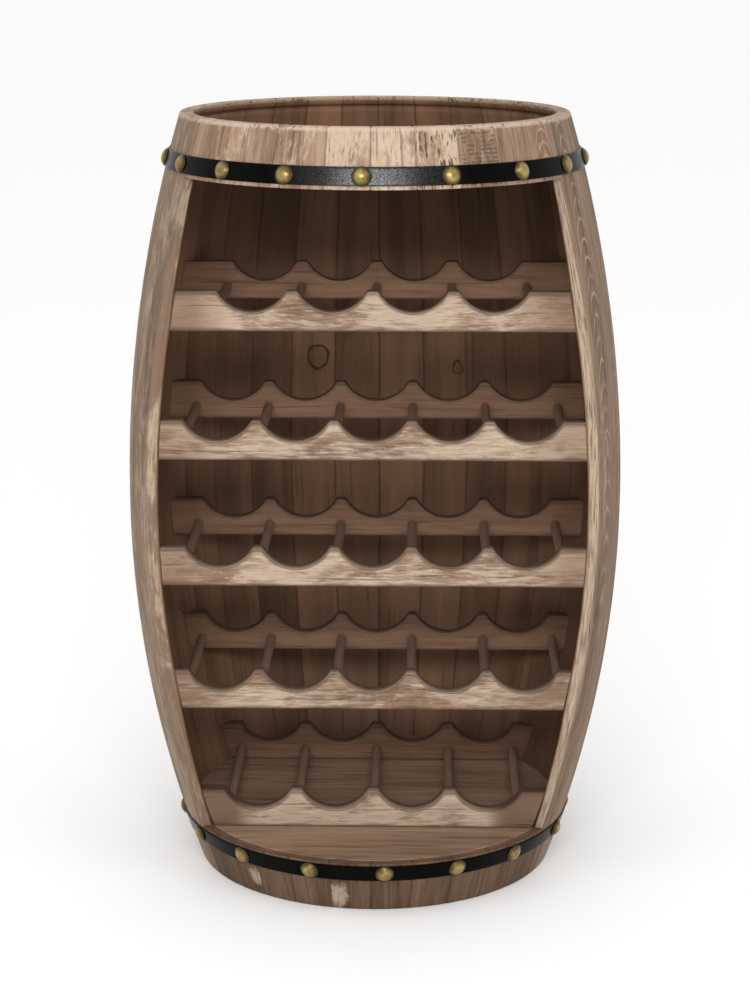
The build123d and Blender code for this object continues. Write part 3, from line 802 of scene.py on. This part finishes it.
def aged_brass(name):
    """Dark antique brass: brown in the hollows of its tarnish, brighter where it is touched."""
    f = Finish(name)
    place = f.node("ShaderNodeTexCoord").outputs["Object"]
    cloud = f.noise(place, 3, 0.55, 0.4, 120.0)
    pit = f.noise(place, 3, 0.6, 0.0, 800.0)
    blend = f.add(f.mul(cloud, 0.75), f.mul(pit, 0.25))
    tarnished, plain, touched = paint(118, 98, 56), paint(156, 134, 84), paint(184, 164, 110)
    colour = f.ramp(blend, (0.34, tarnished), (0.5, plain), (0.68, touched))
    # painted shade: each dome is darkened toward its rim, standing in for its darker reflection at
    # the edge
    colour = f.mix(f.mul(f.step(f.mark("edge"), 0.4, 0.98), 0.9), colour, paint(42, 33, 17))
    f.set("Base Color", colour)
    f.set("Metallic", 0.9)
    f.set("Roughness", f.math("MULTIPLY_ADD", blend, 0.16, 0.29))
    f.set("Normal", f.bump(blend, 0.00005))
    return f.material


def brad_steel(name):
    """Bright drawn wire: pale steel, faintly clouded."""
    f = Finish(name)
    place = f.node("ShaderNodeTexCoord").outputs["Object"]
    cloud = f.noise(place, 3, 0.55, 0.2, 400.0)
    f.set("Base Color", f.ramp(cloud, (0.3, paint(150, 150, 150)), (0.7, paint(190, 190, 188))))
    f.set("Metallic", 1.0)
    f.set("Roughness", f.math("MULTIPLY_ADD", cloud, 0.2, 0.25))
    f.set("Normal", f.bump(cloud, 0.00003))
    return f.material


def pale_floor(name):
    """A plain pale studio floor."""
    f = Finish(name)
    f.set("Base Color", paint(250, 250, 250))
    f.set("Roughness", 0.9)
    f.set("Specular IOR Level", 0.1)
    return f.material


WASH = paint(174, 155, 134)
PALE_WASH = paint(188, 168, 147)
# inner faces: brown, light and the dark of seams and knots; the rest: deep, brown and pale
INNER = (paint(88, 64, 47), paint(133, 100, 75), paint(34, 23, 16))
OUTSIDE = (paint(76, 57, 44), paint(114, 92, 74), paint(139, 117, 96))
UPPER = (paint(80, 59, 46), paint(130, 104, 84), paint(158, 132, 110))
LOWER = (paint(62, 44, 33), paint(86, 65, 49), paint(106, 83, 65))
FRONT = (paint(86, 64, 49), paint(124, 99, 79), paint(146, 122, 101))
BACK = (paint(96, 70, 53), paint(118, 89, 69), paint(131, 102, 80))

BACK_WASH = paint(168, 146, 124)
FRONT_SAWN = paint(80, 59, 46)
BACK_SAWN = paint(92, 70, 56)
PANEL = (paint(84, 63, 49), paint(136, 109, 87), paint(164, 137, 112))
DOWEL = (paint(118, 94, 77), paint(146, 121, 101))

stave_finish = stave_wood(
    "whitewashed_stave_wood", OUTSIDE, WASH, wash_level=0.56, wash_body=0.65,
    inner=INNER, vary=0.22, drawn=2.0, worn=0.15,
)
upper_finish = stave_wood(
    "upper_ring_wood", UPPER, PALE_WASH, wash_level=0.54, wash_body=0.85,
    inner=INNER, vary=0.2, drawn=1.0, worn=0.2,
)
lower_finish = stave_wood(
    "lower_ring_wood", LOWER, PALE_WASH, wash_level=0.66, wash_body=0.6,
    inner=INNER, vary=0.06, drawn=1.0, worn=0.0,
)
front_finish = rail_wood("whitewashed_rail_wood", FRONT, PALE_WASH, 0.48, 0.8, FRONT_SAWN)
back_finish = rail_wood("plain_rail_wood", BACK, BACK_WASH, 0.70, 0.5, BACK_SAWN)
panel_finish = panel_wood("board_wood", *PANEL)
dowel_finish = dowel_wood("dowel_wood", *DOWEL)
hoop_finish = black_band("black_satin_band")
nail_finish = aged_brass("antique_brass")
brad_finish = brad_steel("brad_steel")

# ---------------------------------------------------------------- the rack

NO_MARKS = {
    "wash": 0.0,
    "arcs": 0.0,
    "sawn": 0.0,
    "dashes": 0.0,
    "knot_across": 9.0,
    "knot_height": 9.0,
    "knot_size": 0.011,
    "splash": 0.0,
    "ends": 0.5,
    "planed": 0.0,
}


def marks(**given):
    """The marks of one board: none, but for those given."""
    return {**NO_MARKS, **given}


FULL_MARKS = {
    1: marks(arcs=1.0, wash=0.1, planed=1.0),
    2: marks(arcs=0.3),
    9: marks(knot_across=-0.6, knot_height=0.611, knot_size=0.006),
    12: marks(knot_across=-0.2, knot_height=0.626),
    16: marks(knot_across=0.1, knot_height=0.30, knot_size=0.005),
    19: marks(wash=0.4),
    20: marks(wash=0.6),
}
UPPER_MARKS = {
    2: marks(wash=0.4),
    3: marks(wash=0.5),
    4: marks(wash=0.2),
    5: marks(wash=1.0),
    6: marks(wash=0.85, dashes=0.4),
    7: marks(wash=0.75, dashes=1.0),
    8: marks(sawn=1.0, wash=0.35),
    9: marks(wash=-0.3),
    10: marks(arcs=0.8),
}
LOWER_MARKS = {
    2: marks(splash=1.0, knot_across=0.73, knot_height=0.028, knot_size=0.008),
    5: marks(splash=1.0, knot_across=-0.65, knot_height=0.021, knot_size=0.011),
}

# each set of boards has its own run of random numbers
FULL_SEED = 100
UPPER_SEED = 200
LOWER_SEED = 300
FRONT_SEED = 400
BACK_SEED = 500
LAST_STAVE = STAVES - OPEN_STAVES

for number in range(1, LAST_STAVE + 1):
    node = f"stave_{number:02d}"
    middle = OPEN_HALF + (number - 0.5) * STAVE_TURN
    cut_side = 0
    if number == 1:
        cut_side = 1
    if number == LAST_STAVE:
        cut_side = -1
        middle -= 2 * math.pi
    given = FULL_MARKS.get(number, NO_MARKS)
    seed = FULL_SEED + number
    piece = stave(f"{node}_board", middle, 0.0, BARREL_H, seed, given, cut_side=cut_side)
    finish_piece(piece, stave_finish, "stave_wood", node)

for number in range(1, OPEN_STAVES + 1):
    middle = -OPEN_HALF + (number - 0.5) * STAVE_TURN
    node = f"upper_short_stave_{number:02d}"
    given = UPPER_MARKS.get(number, NO_MARKS)
    seed = UPPER_SEED + number
    piece = stave(f"{node}_board", middle, OPENING_TOP, BARREL_H, seed, given)
    finish_piece(piece, upper_finish, "upper_ring_wood", node)
    node = f"lower_short_stave_{number:02d}"
    given = LOWER_MARKS.get(number, NO_MARKS)
    seed = LOWER_SEED + number
    piece = stave(f"{node}_board", middle, 0.0, LOWER_RING_H, seed, given, rimmed=False)
    finish_piece(piece, lower_finish, "lower_ring_wood", node)

FRONT_MARKS = {
    1: marks(wash=0.7, ends=1.9),
    2: marks(wash=0.25, ends=0.4),
    3: marks(wash=0.3, ends=0.5),
    4: marks(wash=0.5, ends=0.4),
    5: marks(wash=0.45, ends=0.7),
}
for number, bays in enumerate(BAYS, start=1):
    node = f"front_rail_{number}"
    piece = rail(f"{node}_board", node, bays, FRONT_SEED + number, FRONT_MARKS[number])
    finish_piece(piece, front_finish, "whitewashed_rail_wood", node)
    node = f"back_rail_{number}"
    piece = rail(f"{node}_board", node, bays, BACK_SEED + number, NO_MARKS)
    finish_piece(piece, back_finish, "plain_rail_wood", node)


def middle_z(node):
    """Height of the middle of a node's box."""
    low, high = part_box(node)
    return (low.z + high.z) / 2


for node in ("upper_hoop", "lower_hoop"):
    hoop(f"{node}_band", node, hoop_finish)
for node, turns in (("upper_hoop", UPPER_NAIL_TURNS), ("lower_hoop", LOWER_NAIL_TURNS)):
    dome_nails(f"{node}_domes", f"{node}_nails", middle_z(node), turns, nail_finish)

for node, finish in (
    ("top_panel", panel_finish),
    ("base_panel", panel_finish),
    ("spacer_dowels", dowel_finish),
    ("rail_brads", brad_finish),
    ("panel_brads", brad_finish),
):
    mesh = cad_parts[node].data
    mesh.materials.clear()
    mesh.materials.append(finish)

# ---------------------------------------------------------------- studio

FLOOR_HALF = 40.0
floor_corners = [
    (FLOOR_HALF * side, FLOOR_HALF * end, 0) for side, end in ((-1, -1), (1, -1), (1, 1), (-1, 1))
]
floor_mesh = bpy.data.meshes.new("studio_floor")
floor_mesh.from_pydata(floor_corners, [], [(0, 1, 2, 3)])
floor = bpy.data.objects.new("studio_floor", floor_mesh)
bpy.context.scene.collection.objects.link(floor)
floor_mesh.materials.append(pale_floor("pale_floor"))

world = bpy.data.worlds.new("studio")
world.use_nodes = True
world.node_tree.nodes["Background"].inputs[0].default_value = (1.0, 1.0, 1.0, 1.0)
world.node_tree.nodes["Background"].inputs[1].default_value = 1.0
bpy.context.scene.world = world
bpy.context.scene.view_settings.view_transform = "Standard"


SOFTBOX_PLACE = (-0.05, -3.4, 1.90)
SOFTBOX_TARGET = (0, 0, 0.45)
SOFTBOX_W = 2.2
SOFTBOX_H = 0.6
SOFTBOX_POWER = 62


def softbox(name, place, target, width, height, power):
    """A large soft rectangular light, turned to face a point."""
    lamp = bpy.data.lights.new(name, "AREA")
    lamp.shape = "RECTANGLE"
    lamp.size = width
    lamp.size_y = height
    lamp.energy = power
    piece = bpy.data.objects.new(name, lamp)
    piece.location = place
    piece.rotation_euler = (Vector(target) - Vector(place)).to_track_quat("-Z", "Y").to_euler()
    bpy.context.scene.collection.objects.link(piece)


softbox("front_softbox", SOFTBOX_PLACE, SOFTBOX_TARGET, SOFTBOX_W, SOFTBOX_H, SOFTBOX_POWER)

CAMERA_AWAY = 2.542
CAMERA_H = 1.006
CAMERA_DIP = math.radians(13.67)
CAMERA_TURN = math.radians(1.2)
SENSOR_H = 36.0
FOCAL_SHARE = 2.451
lens = bpy.data.cameras.new("camera")
lens.sensor_fit = "VERTICAL"
lens.sensor_height = SENSOR_H
lens.lens = SENSOR_H * FOCAL_SHARE
camera = bpy.data.objects.new("camera", lens)
camera.location = (
    CAMERA_AWAY * math.sin(CAMERA_TURN),
    AXIS_Y - CAMERA_AWAY * math.cos(CAMERA_TURN),
    CAMERA_H,
)
camera.rotation_euler = (math.pi / 2 - CAMERA_DIP, 0, CAMERA_TURN)
bpy.context.scene.collection.objects.link(camera)
bpy.context.scene.camera = camera
